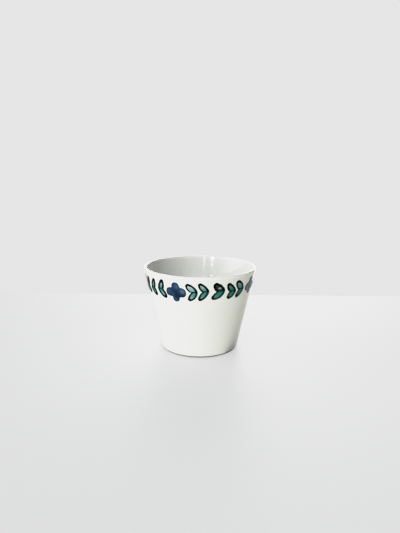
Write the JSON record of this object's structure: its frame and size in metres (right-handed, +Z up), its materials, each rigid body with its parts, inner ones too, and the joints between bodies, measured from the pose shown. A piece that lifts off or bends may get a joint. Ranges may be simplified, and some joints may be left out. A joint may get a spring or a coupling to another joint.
{
  "type": "soba choko cup",
  "caption": "Tapered handle-less porcelain cup with a rounded lip, a low foot ring and an enamel border of blue flowers and green leaves, for dipping sauce, tea or cold drinks.",
  "frame": {"origin": "centre of the foot ring, on the table", "axes": "+Z up along the axis of the cup, -Y towards the front flower"},
  "size_m": [0.084, 0.084, 0.062],
  "materials": {
    "porcelain": "matt, unglazed",
    "glaze": "gloss",
    "flower_blue": "gloss",
    "leaf_line": "gloss",
    "leaf_green": "gloss"
  },
  "bodies": {
    "root": {"porcelain_body": "porcelain", "cup_glaze": "glaze", "foot_glaze": "glaze", "flower_front": "flower_blue", "flower_right": "flower_blue", "flower_back": "flower_blue", "flower_left": "flower_blue", "leaf_outlines_front_right": "leaf_line", "leaf_outlines_back_right": "leaf_line", "leaf_outlines_back_left": "leaf_line", "leaf_outlines_front_left": "leaf_line", "leaf_fills_front_right": "leaf_green", "leaf_fills_back_right": "leaf_green", "leaf_fills_back_left": "leaf_green", "leaf_fills_front_left": "leaf_green"}
  },
  "joints": []
}
